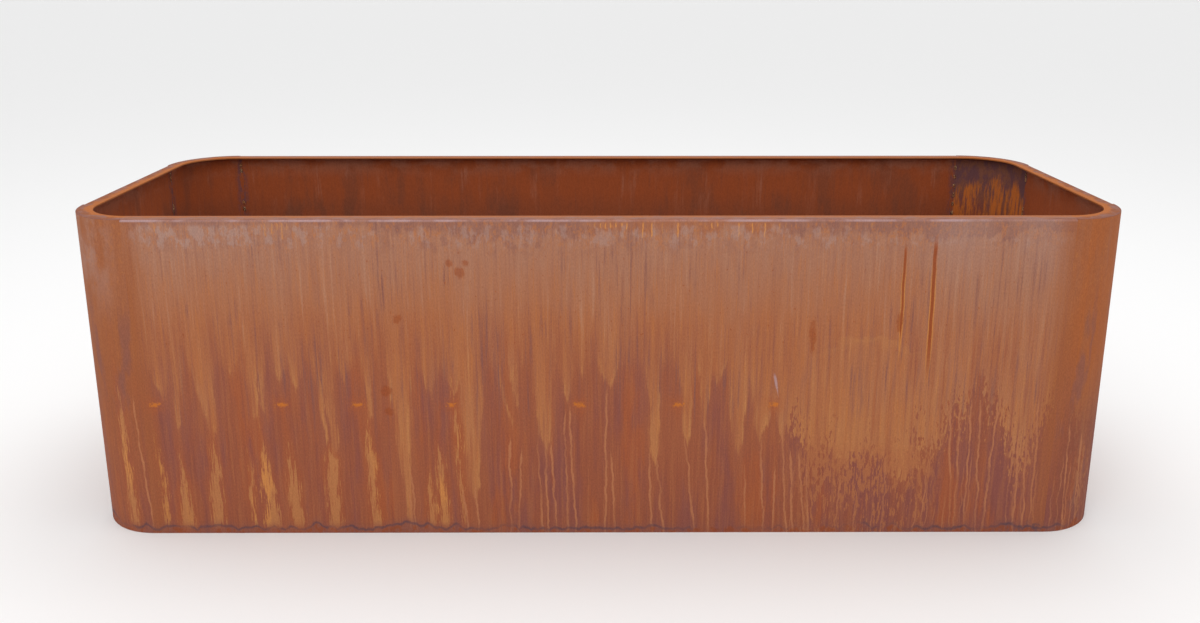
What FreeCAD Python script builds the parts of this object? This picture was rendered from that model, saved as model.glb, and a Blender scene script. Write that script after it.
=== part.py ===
import FreeCAD, Part
import os
from math import acos, cos, radians, sin, sqrt, tan

# Long planter box of weathering steel plate with round corners, 3 m x 1 m x 0.95 m.
# Millimetres, +Z up, origin at the centre of the footprint on the ground.
# +X runs along the box and the front faces -Y.
# Every piece is a node of its own and touches its neighbours face to face.

# ---- shell ----
LENGTH = 3000.0
WIDTH = 1000.0
HEIGHT = 950.0
CORNER_R = 190.0          # outer radius of the rolled corners
PLATE = 5.0               # shell plate thickness
LIP = 45.0                # width of the folded rim, from the outer face
BEND_R = 8.0              # outer radius of the press-brake fold
EDGE_R = 0.8              # dressed edge of cut plate
RIM_EDGE_R = 2.0          # ground weld along the corner rims' outer edge

# ---- false floor ----
FLOOR_Z = 410.0           # top of the ledgers, where the floor plates lie
LEDGER_LEG = 40.0
LEDGER_T = 4.0
LEDGER_ROOT_R = 5.0
LEDGER_TOE_R = 2.0
BEARER_DEPTH = 60.0
BEARER_T = 8.0
BEARER_COPE = 8.0         # corner cut off so that the bearer clears the ledger's root
BEARER_SIDE_GAP = 1.0     # from a bearer's shoulder to the ledger's toe
FLOOR_T = 4.0
FLOOR_PLATES = 5
FLOOR_GAP = 12.0          # drainage gap between floor plates
FLOOR_CLEAR = 2.0         # from the floor plates to the shell

# ---- base ----
STRIP_WIDTH = 50.0
STRIP_T = 6.0
ANCHOR_R = 7.0            # clearance hole for an M12 anchor
ANCHOR_X = 1200.0         # from the middle to each pair of anchor holes

# ---- cross braces ----
BRACE_X = 500.0           # from the middle to the face where lug and bar meet
BRACE_Z = 620.0           # height of the bolt line
BRACE_DEPTH = 50.0
BRACE_T = 8.0
BRACE_END_GAP = 12.0      # from the bar's end to the wall
LUG_REACH = 70.0
LUG_BOTTOM = 590.0
LUG_TOP = 712.0
LUG_T = 8.0
LUG_CORNER_R = 18.0
BOLT_INSET = 40.0         # from the wall's inner face to the bolt
BOLT_HOLE_R = 9.0
EYE_R = 14.0              # lifting eye above the bolt
EYE_Z = 680.0

# ---- M16 fasteners ----
SHANK_R = 8.0
HEX_FLATS = 24.0
HEAD_T = 10.0
NUT_T = 13.0
NUT_BORE_R = 8.05
WASHER_OUT_R = 15.0
WASHER_IN_R = 8.7
WASHER_T = 3.0
BOLT_PROUD = 4.0          # thread standing out of the nut

# ---- worked out from the above ----
INNER_X = LENGTH / 2 - PLATE
INNER_Y = WIDTH / 2 - PLATE
FLAT_X = LENGTH / 2 - CORNER_R      # half the straight run of a long panel
FLAT_Y = WIDTH / 2 - CORNER_R       # half the straight run of an end panel

X_AXIS = FreeCAD.Vector(1, 0, 0)
Z_AXIS = FreeCAD.Vector(0, 0, 1)
ORIGIN = FreeCAD.Vector(0, 0, 0)
TURN_OF_SIDE = {"front": 0.0, "right": 90.0, "back": 180.0, "left": 270.0}
CORNER_NAMES = {("right", "back"): (1, 1), ("left", "back"): (-1, 1),
                ("left", "front"): (-1, -1), ("right", "front"): (1, -1)}


def rounded_face(corners):
    """Planar face in the YZ plane from (y, z, radius) corners, each rounded by a tangent arc."""
    edges = []
    starts = []
    ends = []
    count = len(corners)
    for i, (y, z, r) in enumerate(corners):
        here = FreeCAD.Vector(0, y, z)
        to_last = FreeCAD.Vector(0, *corners[i - 1][:2]) - here
        to_next = FreeCAD.Vector(0, *corners[(i + 1) % count][:2]) - here
        to_last.normalize()
        to_next.normalize()
        if r <= 0:
            starts.append(here)
            ends.append(here)
            continue
        half = acos(max(-1.0, min(1.0, to_last.dot(to_next)))) / 2
        reach = r / tan(half)
        start = here + to_last * reach
        end = here + to_next * reach
        inward = to_last + to_next
        inward.normalize()
        middle = here + inward * (r / sin(half) - r)
        starts.append(start)
        ends.append(end)
        edges.append(Part.Arc(start, middle, end).toShape())
    for i in range(count):
        edges.append(Part.LineSegment(ends[i - 1], starts[i]).toShape())
    return Part.Face(Part.Wire(Part.sortEdges(edges)[0]))


def extruded(face, x0, x1):
    """Solid of a YZ face carried along X from x0 to x1."""
    moved = face.copy()
    moved.translate(FreeCAD.Vector(x0, 0, 0))
    return moved.extrude(FreeCAD.Vector(x1 - x0, 0, 0))


def turned(shape, side):
    """Copy of a front-side shape, turned about Z to another side of the box."""
    copy = shape.copy()
    copy.rotate(ORIGIN, Z_AXIS, TURN_OF_SIDE[side])
    return copy


def quarter_turn(face, corner):
    """Solid of a YZ face, with Y as the radius, swept a quarter turn round one corner's axis."""
    sx, sy = corner
    start = {(1, 1): 0.0, (-1, 1): 90.0, (-1, -1): 180.0, (1, -1): 270.0}[corner]
    solid = face.revolve(ORIGIN, Z_AXIS, 90)
    solid.rotate(ORIGIN, Z_AXIS, start - 90.0)
    solid.translate(FreeCAD.Vector(sx * FLAT_X, sy * FLAT_Y, 0))
    return solid


def folded_panel(face_distance, half_length):
    """Front-side wall plate whose top edge is folded inwards as the rim's lip."""
    outer = -face_distance
    profile = rounded_face([
        (outer, 0, EDGE_R),
        (outer + PLATE, 0, EDGE_R),
        (outer + PLATE, HEIGHT - PLATE, BEND_R - PLATE),
        (outer + LIP, HEIGHT - PLATE, EDGE_R),
        (outer + LIP, HEIGHT, EDGE_R),
        (outer, HEIGHT, BEND_R),
    ])
    return extruded(profile, -half_length, half_length)


def corner_shell(corner):
    """Wall plate rolled to a quarter round, up to the underside of the corner rim."""
    profile = rounded_face([
        (CORNER_R - PLATE, 0, EDGE_R),
        (CORNER_R, 0, EDGE_R),
        (CORNER_R, HEIGHT - PLATE, 0),
        (CORNER_R - PLATE, HEIGHT - PLATE, 0),
    ])
    return quarter_turn(profile, corner)


def corner_rim(corner):
    """Flat quarter-ring plate that carries the lip round a corner."""
    profile = rounded_face([
        (CORNER_R - LIP, HEIGHT - PLATE, EDGE_R),
        (CORNER_R, HEIGHT - PLATE, 0),
        (CORNER_R, HEIGHT, RIM_EDGE_R),
        (CORNER_R - LIP, HEIGHT, EDGE_R),
    ])
    return quarter_turn(profile, corner)


def floor_ledger(wall_distance, half_length):
    """Front-side angle bar with its level leg on top, where the floor plates lie."""
    wall = -wall_distance
    profile = rounded_face([
        (wall, FLOOR_Z - LEDGER_LEG, 0),
        (wall + LEDGER_T, FLOOR_Z - LEDGER_LEG, LEDGER_TOE_R),
        (wall + LEDGER_T, FLOOR_Z - LEDGER_T, LEDGER_ROOT_R),
        (wall + LEDGER_LEG, FLOOR_Z - LEDGER_T, LEDGER_TOE_R),
        (wall + LEDGER_LEG, FLOOR_Z, 0),
        (wall, FLOOR_Z, 0),
    ])
    return extruded(profile, -half_length, half_length)


def floor_bearer(x):
    """Flat bar on edge across the box, with its ends notched under the ledgers."""
    end = INNER_Y - LEDGER_T
    shoulder = INNER_Y - LEDGER_LEG - BEARER_SIDE_GAP
    top = FLOOR_Z
    under_leg = FLOOR_Z - LEDGER_T
    bottom = FLOOR_Z - BEARER_DEPTH
    half = [
        (shoulder, top, 0),
        (shoulder, under_leg, 0),
        (end - BEARER_COPE, under_leg, 0),
        (end, under_leg - BEARER_COPE, 0),
        (end, bottom, EDGE_R),
    ]
    other_half = [(-y, z, r) for y, z, r in reversed(half)]
    return extruded(rounded_face(half + other_half), x - BEARER_T / 2, x + BEARER_T / 2)


def floor_outline():
    """Rounded slab that just clears the shell all round, before it is cut into plates."""
    half_x = INNER_X - FLOOR_CLEAR
    half_y = INNER_Y - FLOOR_CLEAR
    r = CORNER_R - PLATE - FLOOR_CLEAR
    slab = Part.makeBox(2 * half_x, 2 * half_y, FLOOR_T, FreeCAD.Vector(-half_x, -half_y, FLOOR_Z))
    upright = [e for e in slab.Edges if abs(e.tangentAt(e.FirstParameter).z) > 0.99]
    return slab.makeFillet(r, upright)


def floor_plate_spans():
    """(x0, x1) of each floor plate, equal in length with a drainage gap between neighbours."""
    whole = 2 * (INNER_X - FLOOR_CLEAR)
    each = (whole - (FLOOR_PLATES - 1) * FLOOR_GAP) / FLOOR_PLATES
    first = -whole / 2
    return [(first + i * (each + FLOOR_GAP), first + i * (each + FLOOR_GAP) + each)
            for i in range(FLOOR_PLATES)]


def floor_plate(outline, x0, x1):
    """One plate of the false floor."""
    cutter = Part.makeBox(x1 - x0, WIDTH, 3 * FLOOR_T, FreeCAD.Vector(x0, -WIDTH / 2, FLOOR_Z - FLOOR_T))
    return outline.common(cutter)


def base_strip(wall_distance, half_length, hole_places):
    """Front-side flat bar inside the wall's bottom edge, drilled for ground anchors."""
    wall = -wall_distance
    strip = Part.makeBox(2 * half_length, STRIP_WIDTH, STRIP_T, FreeCAD.Vector(-half_length, wall, 0))
    for x in hole_places:
        at = FreeCAD.Vector(x, wall + STRIP_WIDTH / 2, -1)
        strip = strip.cut(Part.makeCylinder(ANCHOR_R, STRIP_T + 2, at))
    return strip


def along_x(radius, x0, x1, y, z):
    """Cylinder along X."""
    return Part.makeCylinder(radius, x1 - x0, FreeCAD.Vector(x0, y, z), X_AXIS)


def hexagon(x0, x1, y, z):
    """Hexagonal prism along X, with two corners up and down."""
    r = HEX_FLATS / sqrt(3)
    points = [FreeCAD.Vector(x0, y + r * sin(radians(60 * i)), z + r * cos(radians(60 * i)))
              for i in range(7)]
    return Part.Face(Part.makePolygon(points)).extrude(FreeCAD.Vector(x1 - x0, 0, 0))


def on_side(shape, x_sign, y_sign):
    """Copy of a shape made at right and front, mirrored to the left or back as the signs say."""
    copy = shape.copy()
    if x_sign < 0:
        copy = copy.mirror(ORIGIN, X_AXIS)
    if y_sign > 0:
        copy = copy.mirror(ORIGIN, FreeCAD.Vector(0, 1, 0))
    return copy


def brace_lug():
    """Right front lug plate, with the bolt hole and the lifting eye over it."""
    wall = -INNER_Y
    tip = wall + LUG_REACH
    plate = extruded(rounded_face([
        (wall, LUG_BOTTOM, 0),
        (tip, LUG_BOTTOM, LUG_CORNER_R),
        (tip, LUG_TOP, LUG_CORNER_R),
        (wall, LUG_TOP, 0),
    ]), BRACE_X - LUG_T, BRACE_X)
    for radius, z in ((BOLT_HOLE_R, BRACE_Z), (EYE_R, EYE_Z)):
        plate = plate.cut(along_x(radius, BRACE_X - LUG_T - 1, BRACE_X + 1, wall + BOLT_INSET, z))
    return plate


def cross_brace():
    """Right brace: flat bar on edge from wall to wall, bolted to the outer face of its lugs."""
    end = INNER_Y - BRACE_END_GAP
    low = BRACE_Z - BRACE_DEPTH / 2
    high = BRACE_Z + BRACE_DEPTH / 2
    bar = extruded(rounded_face([
        (-end, low, EDGE_R), (end, low, EDGE_R), (end, high, EDGE_R), (-end, high, EDGE_R),
    ]), BRACE_X, BRACE_X + BRACE_T)
    for sign in (-1, 1):
        y = sign * (INNER_Y - BOLT_INSET)
        bar = bar.cut(along_x(BOLT_HOLE_R, BRACE_X - 1, BRACE_X + BRACE_T + 1, y, BRACE_Z))
    return bar


def brace_fasteners():
    """Bolt, pair of washers and nut at the right front lug, as lists of separate solids."""
    y = -(INNER_Y - BOLT_INSET)
    z = BRACE_Z
    lug_face = BRACE_X - LUG_T
    bar_face = BRACE_X + BRACE_T
    head_face = lug_face - WASHER_T
    nut_face = bar_face + WASHER_T
    shank = along_x(SHANK_R, head_face, nut_face + NUT_T + BOLT_PROUD, y, z)
    bolt = hexagon(head_face - HEAD_T, head_face, y, z).fuse(shank).removeSplitter()
    washers = [along_x(WASHER_OUT_R, x, x + WASHER_T, y, z).cut(along_x(WASHER_IN_R, x, x + WASHER_T, y, z))
               for x in (head_face, bar_face)]
    nut = hexagon(nut_face, nut_face + NUT_T, y, z).cut(along_x(NUT_BORE_R, nut_face, nut_face + NUT_T, y, z))
    return {"brace_bolts": [bolt], "brace_washers": washers, "brace_nuts": [nut]}


def shell_nodes():
    """Four folded panels, four rolled corners and their four rims."""
    nodes = {
        "front_panel": folded_panel(WIDTH / 2, FLAT_X),
        "back_panel": turned(folded_panel(WIDTH / 2, FLAT_X), "back"),
        "left_end_panel": turned(folded_panel(LENGTH / 2, FLAT_Y), "left"),
        "right_end_panel": turned(folded_panel(LENGTH / 2, FLAT_Y), "right"),
    }
    for (side, face), corner in CORNER_NAMES.items():
        nodes[f"corner_shell_{face}_{side}"] = corner_shell(corner)
        nodes[f"corner_rim_{face}_{side}"] = corner_rim(corner)
    return nodes


def floor_nodes():
    """Ledgers round the walls, bearers across, and the loose plates on them."""
    nodes = {}
    for side in ("front", "back"):
        nodes[f"floor_ledger_{side}"] = turned(floor_ledger(INNER_Y, FLAT_X), side)
    for side in ("left", "right"):
        nodes[f"floor_ledger_{side}"] = turned(floor_ledger(INNER_X, FLAT_Y), side)
    outline = floor_outline()
    for i, (x0, x1) in enumerate(floor_plate_spans(), 1):
        nodes[f"floor_bearer_{i}"] = floor_bearer((x0 + x1) / 2)
        nodes[f"floor_plate_{i}"] = floor_plate(outline, x0, x1)
    return nodes


def base_nodes():
    """Flat bars inside the bottom edge of the four flat walls."""
    nodes = {}
    for side in ("front", "back"):
        nodes[f"base_strip_{side}"] = turned(base_strip(INNER_Y, FLAT_X, (-ANCHOR_X, ANCHOR_X)), side)
    for side in ("left", "right"):
        nodes[f"base_strip_{side}"] = turned(base_strip(INNER_X, FLAT_Y, ()), side)
    return nodes


def brace_nodes():
    """Two cross braces with their lugs and bolts."""
    nodes = {
        "cross_brace_right": cross_brace(),
        "cross_brace_left": on_side(cross_brace(), -1, -1),
    }
    for name in brace_fasteners():
        nodes[name] = []
    for side, x_sign in (("left", -1), ("right", 1)):
        for face, y_sign in (("front", -1), ("back", 1)):
            nodes[f"brace_lug_{face}_{side}"] = on_side(brace_lug(), x_sign, y_sign)
            for name, solids in brace_fasteners().items():
                nodes[name] += [on_side(solid, x_sign, y_sign) for solid in solids]
    return nodes


def write(nodes):
    """One STEP file for each node; a list of solids becomes one group."""
    os.makedirs("parts", exist_ok=True)
    for name, shape in nodes.items():
        if isinstance(shape, list):
            shape = Part.makeCompound(shape)
        if not shape.isValid():
            raise ValueError(f"{name} isn't a valid shape")
        shape.exportStep(f"parts/{name}.step")
    print(f"{len(nodes)} nodes written")


write({**shell_nodes(), **floor_nodes(), **base_nodes(), **brace_nodes()})
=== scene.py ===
"""Long planter box of weathering steel: its patina, its weld beads and a plain studio.

Everything is in metres in the part's own frame: +X along the box, the front faces -Y, +Z is up.
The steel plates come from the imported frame. This script dresses them and adds the weld beads.
"""
from __future__ import annotations

import logging
import math
from dataclasses import dataclass, field
from enum import Enum
from typing import Any, Sequence

import bpy
import numpy as np
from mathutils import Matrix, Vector


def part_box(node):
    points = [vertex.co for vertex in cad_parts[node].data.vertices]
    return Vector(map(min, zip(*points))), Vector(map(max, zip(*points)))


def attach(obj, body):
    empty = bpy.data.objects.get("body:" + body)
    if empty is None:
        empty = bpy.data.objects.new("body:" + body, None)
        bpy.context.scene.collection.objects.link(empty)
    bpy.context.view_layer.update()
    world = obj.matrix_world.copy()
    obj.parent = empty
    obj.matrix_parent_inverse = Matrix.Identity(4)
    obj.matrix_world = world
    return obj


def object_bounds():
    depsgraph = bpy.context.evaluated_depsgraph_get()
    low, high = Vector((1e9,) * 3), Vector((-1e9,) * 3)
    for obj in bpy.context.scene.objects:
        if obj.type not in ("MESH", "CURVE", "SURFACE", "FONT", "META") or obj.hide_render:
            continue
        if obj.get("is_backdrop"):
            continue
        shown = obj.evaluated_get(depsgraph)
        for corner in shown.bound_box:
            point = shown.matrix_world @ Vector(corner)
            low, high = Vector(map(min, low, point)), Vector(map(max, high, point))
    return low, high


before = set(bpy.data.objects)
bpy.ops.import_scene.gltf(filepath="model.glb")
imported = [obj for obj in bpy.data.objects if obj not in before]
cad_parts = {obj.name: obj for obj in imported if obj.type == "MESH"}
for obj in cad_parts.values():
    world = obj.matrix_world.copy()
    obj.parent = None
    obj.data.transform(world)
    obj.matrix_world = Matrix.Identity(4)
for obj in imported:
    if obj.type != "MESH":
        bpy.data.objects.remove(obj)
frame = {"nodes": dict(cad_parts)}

LOG = logging.getLogger("planter")
Colour = tuple[float, float, float]
Number = "Value | float"
Socket = bpy.types.NodeSocket
Tube = tuple[np.ndarray, np.ndarray, np.ndarray]


def srgb(red: int, green: int, blue: int) -> Colour:
    """Linear colour of an 8-bit display colour."""
    shares = (c / 255 for c in (red, green, blue))
    return tuple(c / 12.92 if c <= 0.04045 else ((c + 0.055) / 1.055) ** 2.4 for c in shares)


# --------------------------------------------------------------------------------------------
# The box's own measures, read from the frame
# --------------------------------------------------------------------------------------------


@dataclass(frozen=True)
class BoxSizes:
    """Outline of the planter, in metres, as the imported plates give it."""

    half_length: float
    half_width: float
    height: float
    flat_x: float
    flat_y: float
    plate: float
    lip: float
    floor_top: float

    @property
    def corner(self) -> float:
        """Outer radius of the rolled corners."""
        return self.half_length - self.flat_x

    @classmethod
    def from_frame(cls) -> BoxSizes:
        """Reads the outline from the boxes of the panels, a corner shell and a floor plate."""
        low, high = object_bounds()
        front_low, front_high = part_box("front_panel")
        end_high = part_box("right_end_panel")[1]
        shell_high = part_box("corner_shell_front_right")[1]
        return cls(half_length=high.x, half_width=high.y, height=high.z, flat_x=front_high.x,
                   flat_y=end_high.y, plate=front_high.z - shell_high.z,
                   lip=front_high.y - front_low.y, floor_top=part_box("floor_plate_1")[1].z)


# --------------------------------------------------------------------------------------------
# Shader maths
# --------------------------------------------------------------------------------------------


class Value:
    """A number that a shader works out at each point, with Python's arithmetic."""

    def __init__(self, shader: Shader, socket: Socket) -> None:
        """Wraps an output socket of the shader's tree."""
        self.shader = shader
        self.socket = socket

    def _do(self, operation: str, *others: Number) -> Value:
        """This value as the first operand of a Math node."""
        return self.shader.math(operation, self, *others)

    def __add__(self, other: Number) -> Value:
        """self + other."""
        return self._do("ADD", other)

    __radd__ = __add__

    def __mul__(self, other: Number) -> Value:
        """self * other."""
        return self._do("MULTIPLY", other)

    __rmul__ = __mul__

    def __sub__(self, other: Number) -> Value:
        """self - other."""
        return self._do("SUBTRACT", other)

    def __rsub__(self, other: Number) -> Value:
        """other - self."""
        return self.shader.math("SUBTRACT", other, self)

    def __truediv__(self, other: Number) -> Value:
        """self / other."""
        return self._do("DIVIDE", other)

    def __abs__(self) -> Value:
        """Size without the sign."""
        return self._do("ABSOLUTE")

    def floor(self) -> Value:
        """Whole number below."""
        return self._do("FLOOR")

    def sign(self) -> Value:
        """-1, 0 or 1."""
        return self._do("SIGN")

    def at_least(self, other: Number) -> Value:
        """The larger of the two."""
        return self._do("MAXIMUM", other)

    def at_most(self, other: Number) -> Value:
        """The smaller of the two."""
        return self._do("MINIMUM", other)

    def rise(self, low: Number, high: Number) -> Value:
        """Smooth step: 0 below low, 1 above high, with no corner between.

        Args:
            low: where the step starts.
            high: where it ends. It may be under low, and the step then falls.

        Returns:
            A value from 0 to 1.
        """
        made = self.shader.node("ShaderNodeMapRange", {"interpolation_type": "SMOOTHSTEP"},
                                {0: self, 1: low, 2: high})
        return Value(self.shader, made.outputs[0])

    def bump_at(self, centre: float, reach: float) -> Value:
        """Soft hill: 1 at centre, 0 from reach away on either side."""
        return abs(self - centre).rise(reach, 0.0)


class Shader:
    """Node tree of one material, with short ways to fill it."""

    def __init__(self, name: str) -> None:
        """Starts an empty material with a Principled surface.

        Args:
            name: the material's name.
        """
        self.material = bpy.data.materials.new(name)
        self.material.use_nodes = True
        self.tree = self.material.node_tree
        self.tree.nodes.clear()
        self.surface = self.node("ShaderNodeBsdfPrincipled")
        self.node("ShaderNodeOutputMaterial", {}, {"Surface": self.surface.outputs["BSDF"]})
        self.spot = self.node("ShaderNodeTexCoord").outputs["Object"]

    def plug(self, socket: Socket, value: Any) -> None:
        """Links a value, or sets a constant, on an input socket.

        Args:
            socket: the input.
            value: a Value, an output socket, a number, a colour or a vector.
        """
        if isinstance(value, Value):
            self.tree.links.new(value.socket, socket)
        elif isinstance(value, Socket):
            self.tree.links.new(value, socket)
        elif socket.type == "RGBA" and len(value) == 3:
            socket.default_value = (*value, 1.0)
        else:
            socket.default_value = value

    def node(self, kind: str, settings: dict[str, Any] | None = None,
             sockets: dict[str | int, Any] | None = None) -> bpy.types.Node:
        """Adds any node.

        Args:
            kind: the node's type name.
            settings: its properties, set before its sockets.
            sockets: input name or number to a constant, a Value or an output socket.

        Returns:
            The new node.
        """
        made = self.tree.nodes.new(kind)
        for name, value in (settings or {}).items():
            setattr(made, name, value)
        for name, value in (sockets or {}).items():
            self.plug(made.inputs[name], value)
        return made

    def math(self, operation: str, *operands: Number) -> Value:
        """A Math node on one to three operands."""
        made = self.node("ShaderNodeMath", {"operation": operation}, dict(enumerate(operands)))
        return Value(self, made.outputs[0])

    def position(self) -> tuple[Value, Value, Value]:
        """The point's own X, Y and Z in the part's frame."""
        parts = self.node("ShaderNodeSeparateXYZ", {}, {0: self.spot})
        return tuple(Value(self, socket) for socket in parts.outputs)

    def vector(self, x: Number, y: Number, z: Number) -> Socket:
        """Three numbers as one vector."""
        return self.node("ShaderNodeCombineXYZ", {}, {0: x, 1: y, 2: z}).outputs[0]

    def vector_math(self, operation: str, *operands: Any) -> Socket:
        """A Vector Math node on one to three vectors."""
        made = self.node("ShaderNodeVectorMath", {"operation": operation}, dict(enumerate(operands)))
        return made.outputs[0]

    def cloud(self, across: float, down: float, seed: float, detail: float = 3.0,
              roughness: float = 0.6) -> Value:
        """Cloudy noise fixed to the part, which can be drawn out in height.

        Args:
            across: features per metre in X and Y.
            down: features per metre of height.
            seed: shifts the pattern.
            detail: octaves of the noise.
            roughness: how strong the finer octaves are.

        Returns:
            A value from 0 to 1 about 0.5.
        """
        place = self.node("ShaderNodeMapping", {}, {"Vector": self.spot, "Scale": (across, across, down),
                                                    "Location": (seed * 1.9, seed * 7.3, 0.0)})
        made = self.node("ShaderNodeTexNoise", {"noise_dimensions": "3D"},
                         {"Vector": place.outputs[0], "Scale": 1.0, "Detail": detail,
                          "Roughness": roughness})
        return Value(self, made.outputs[0])

    def sway(self, size: float, *pattern: float) -> Value:
        """Cloud about zero that is size times as strong.

        Args:
            size: the factor.
            pattern: what `cloud` takes, in its order.

        Returns:
            A value from -size / 2 to size / 2.
        """
        return (self.cloud(*pattern) - 0.5) * size

    def dice(self, x: Number, y: Number) -> tuple[Value, Value, Value]:
        """Three random numbers from 0 to 1 that change only with x and y."""
        made = self.node("ShaderNodeTexWhiteNoise", {"noise_dimensions": "2D"},
                         {"Vector": self.vector(x, y, 0.0)})
        parts = self.node("ShaderNodeSeparateColor", {}, {0: made.outputs["Color"]})
        return tuple(Value(self, socket) for socket in parts.outputs)

    def mix(self, share: Number, first: Any, second: Any, way: str = "MIX") -> Socket:
        """Blends two colours.

        Args:
            share: 0 gives the first colour and 1 the second.
            first: a colour or a colour socket.
            second: the same.
            way: the Mix node's blend type.

        Returns:
            The mixed colour's socket.
        """
        made = self.node("ShaderNodeMix", {"data_type": "RGBA", "blend_type": way, "clamp_factor": True},
                         {0: share, 6: first, 7: second})
        return made.outputs[2]

    def bump(self, height: Value, distance: float, strength: float) -> Socket:
        """Normal of a surface raised by height times distance in metres."""
        made = self.node("ShaderNodeBump", {}, {"Strength": strength, "Distance": distance, "Height": height})
        return made.outputs["Normal"]

    def finish(self, colour: Any, roughness: Number, normal: Any = None, metallic: float = 0.0,
               specular: float = 0.5) -> bpy.types.Material:
        """Sends the finished colour, roughness and normal to the surface.

        Args:
            colour: base colour.
            roughness: a number or a Value.
            normal: a normal socket, or None for the mesh's own.
            metallic: constant share of bare metal.
            specular: constant level of the surface's gloss.

        Returns:
            The material.
        """
        self.plug(self.surface.inputs["Base Color"], colour)
        self.plug(self.surface.inputs["Roughness"], roughness)
        self.surface.inputs["Metallic"].default_value = metallic
        self.surface.inputs["Specular IOR Level"].default_value = specular
        if normal is not None:
            self.plug(self.surface.inputs["Normal"], normal)
        return self.material


# --------------------------------------------------------------------------------------------
# Marks that rain has left, and the wall's own coordinates
# --------------------------------------------------------------------------------------------


class Side(Enum):
    """Where a plate stands, which sets how the rain has marked it."""

    FRONT = "front"
    BACK = "back"
    CORNER = "corner"
    END = "end"


@dataclass(frozen=True)
class Tongue:
    """One tongue of colour that water has drawn on the wall, in metres."""

    place: float
    tip: float
    base: float
    spread: float = 0.0
    lean: float = 0.0
    blunt: float = 0.35


def hanging(*rows: Sequence[float]) -> tuple[Tongue, ...]:
    """Tongues with their tips at the bottom, from rows of a tongue's own fields in order."""
    return tuple(Tongue(*row) for row in rows)


def falling(*rows: Sequence[float]) -> tuple[Tongue, ...]:
    """Tongues that start in a tip and run down to the ground, for heights measured downwards.

    Args:
        rows: place, top, base, spread, lean and blunt of each. The last three may be left out.

    Returns:
        The tongues.
    """
    upright = (0.0, 0.0, 0.12)
    return tuple(Tongue(place, -top, base, *more, *upright[len(more):]) for place, top, base, *more in rows)


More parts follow.
